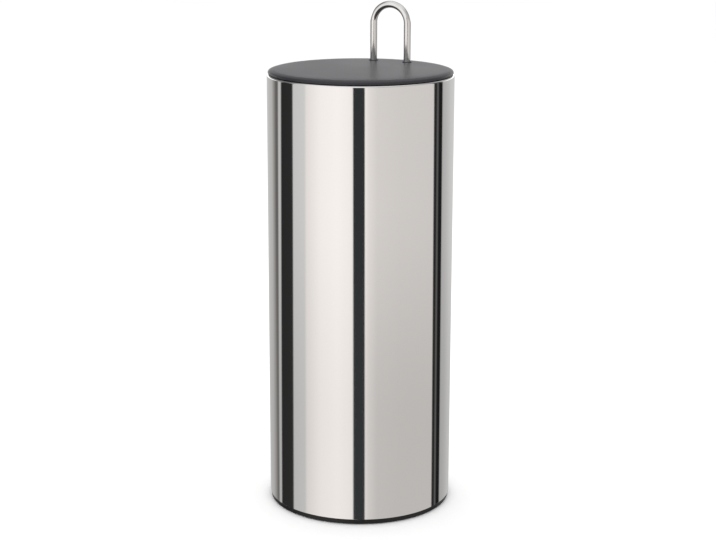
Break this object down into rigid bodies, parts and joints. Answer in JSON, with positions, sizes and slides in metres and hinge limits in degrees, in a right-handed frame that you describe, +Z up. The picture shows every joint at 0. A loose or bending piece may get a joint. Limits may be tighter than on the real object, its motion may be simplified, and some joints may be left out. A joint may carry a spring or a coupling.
{
  "type": "toilet roll canister",
  "caption": "Free-standing polished steel canister for a stack of spare toilet rolls, with a lift-out carrier on a wire loop handle and a sliding dark lid.",
  "frame": {"origin": "centre of the base on the surface the canister stands on", "axes": "+Z up along the tube; the wire and its loop stand at the back, on +Y; +X is to the right seen from the front"},
  "size_m": [0.145, 0.145, 0.3945],
  "materials": {
    "polished_steel": "mirror-polished stainless steel",
    "brushed_steel": "satin steel, zinc-bright on the fasteners",
    "black_plastic": "satin black moulding",
    "lid_plastic": "fine matte dark grey moulding",
    "grey_plastic": "matte mid grey moulding",
    "soft_rubber": "matte dark rubber"
  },
  "bodies": {
    "canister": {"canister_tube": "polished_steel", "canister_floor": "brushed_steel", "base_ring": "black_plastic", "grip_ring": "soft_rubber"},
    "carrier": {"wire_loop": "polished_steel", "collar_left": "brushed_steel", "collar_right": "brushed_steel", "platform": "grey_plastic", "bumper_ring": "soft_rubber", "foot_left": "soft_rubber", "foot_right": "soft_rubber", "foot_rear": "soft_rubber", "leg_washers": "brushed_steel", "leg_screws": "brushed_steel"},
    "lid": {"lid_cap": "lid_plastic", "lid_inner": "grey_plastic", "lid_seal": "soft_rubber", "bush_left": "lid_plastic", "bush_right": "lid_plastic", "lid_screws": "brushed_steel"}
  },
  "joints": [
    {"name": "carrier_lift", "type": "slide", "parent": "canister", "child": "carrier", "axis": [0, 0, 1], "range_m": [0, 0.36]},
    {"name": "lid_slide", "type": "slide", "parent": "carrier", "child": "lid", "axis": [0, 0, 1], "range_m": [0, 0.028]}
  ]
}
